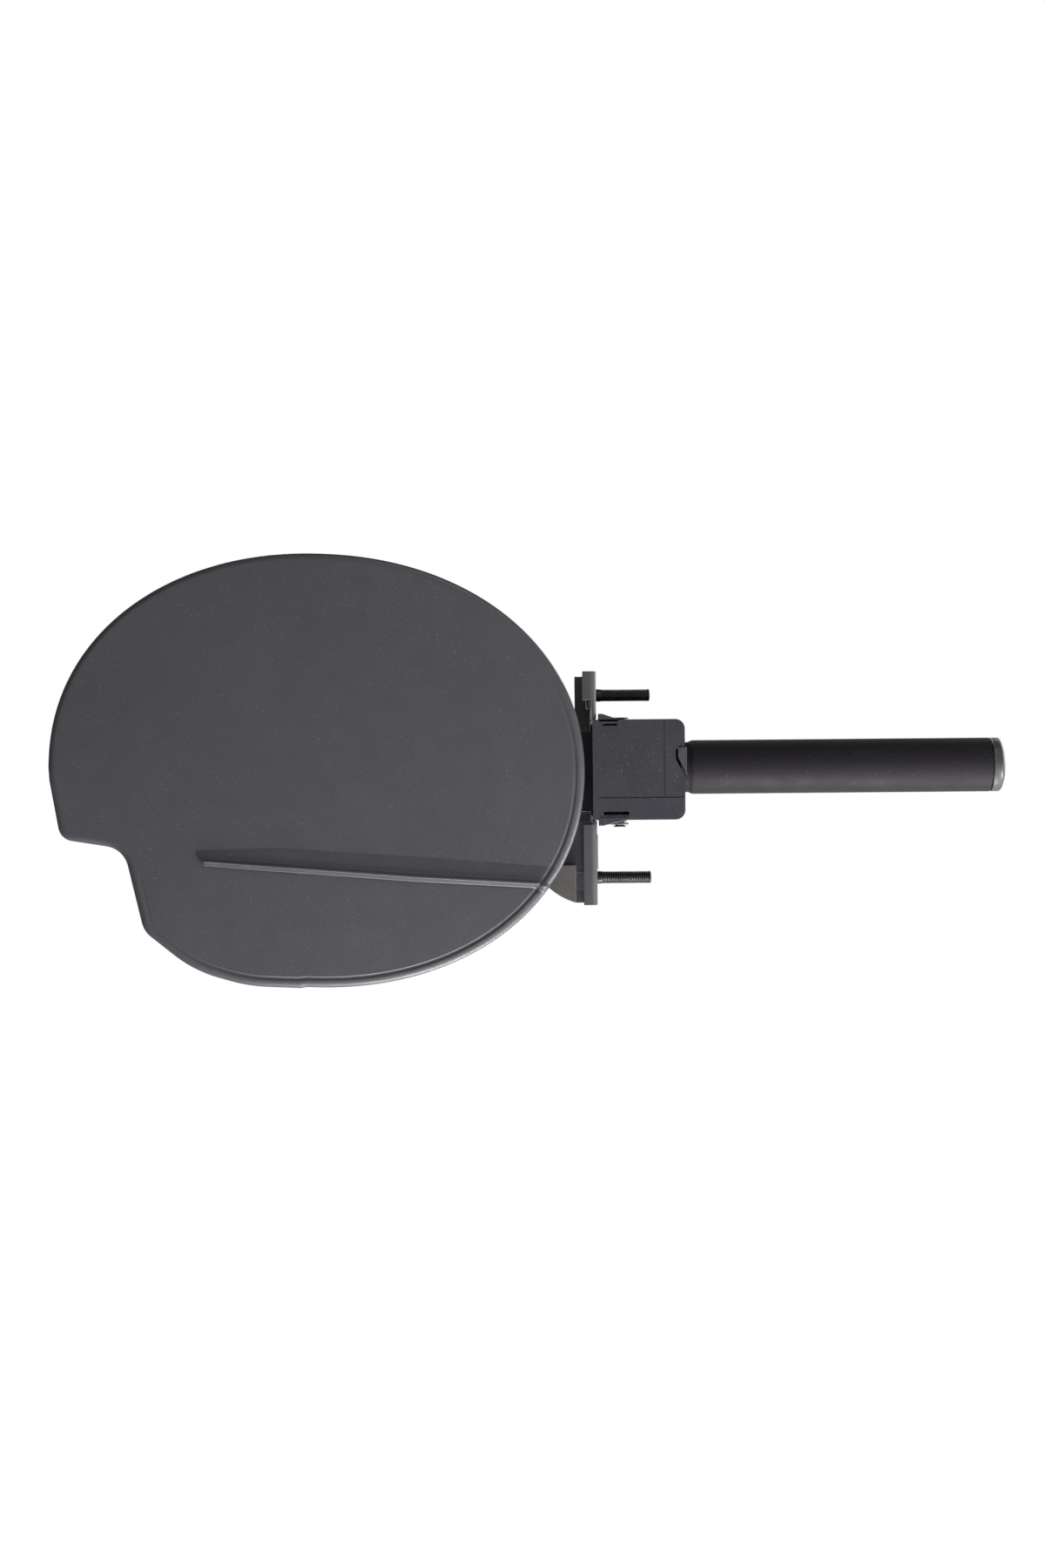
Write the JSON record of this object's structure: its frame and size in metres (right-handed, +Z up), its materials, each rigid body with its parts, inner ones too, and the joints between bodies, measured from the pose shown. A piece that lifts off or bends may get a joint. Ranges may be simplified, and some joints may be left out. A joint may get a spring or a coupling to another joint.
{
  "type": "fuel filler flap with gooseneck hinge",
  "caption": "Oval pressed-steel fuel filler flap on an over-centre gooseneck hinge with studded mounting plate and spring tube.",
  "frame": {"origin": "on the embossed seat of the mounting plate's right-hand face, on the solid land between the hinge housing and the lower stud", "axes": "+Z up as mounted on the vehicle, the flap's outer skin faces -Y, +X points from the flap through the plate along the studs and the spring tube"},
  "size_m": [0.2996, 0.0487, 0.1352],
  "materials": {
    "flap_coat": "satin",
    "hinge_coat": "satin",
    "bare_steel": "satin",
    "nylon": "matte",
    "rubber": "matte"
  },
  "bodies": {
    "hinge_base": {"mounting_plate": "hinge_coat", "stud_lower": "bare_steel", "stud_upper": "bare_steel", "stop_bracket": "hinge_coat", "stop_pad": "rubber", "hinge_housing": "hinge_coat", "bush_upper": "nylon", "bush_lower": "nylon", "pivot_pin": "bare_steel", "pin_retaining_clip": "bare_steel", "spring_tube": "hinge_coat", "tube_end_cap": "hinge_coat", "compression_spring": "bare_steel"},
    "flap": {"flap_outer_skin": "flap_coat", "flap_inner_panel": "flap_coat", "hinge_arm": "hinge_coat", "arm_rivet_1": "bare_steel", "arm_rivet_2": "bare_steel", "arm_rivet_3": "bare_steel", "arm_rivet_4": "bare_steel", "buffer_upper": "rubber", "buffer_lower": "rubber", "pivot_sleeve": "bare_steel", "link_pin": "bare_steel", "link_spacer_lower": "bare_steel", "link_spacer_upper": "bare_steel"},
    "spring_rod": {"push_rod": "bare_steel", "rod_head": "nylon"}
  },
  "joints": [
    {"name": "flap_hinge", "type": "hinge", "parent": "hinge_base", "child": "flap", "pos_m": [0.007, -0.0147, 0.0238], "axis": [0, 0, 1], "range_deg": [0, 95]},
    {"name": "rod_link", "type": "hinge", "parent": "flap", "child": "spring_rod", "pos_m": [0.01424, -0.01664, 0.0248], "axis": [0, 0, 1], "range_deg": [-115, 0]}
  ],
  "couplings": [
    {"joint": "rod_link", "follows": "flap_hinge", "ratio": -1.2066}
  ]
}
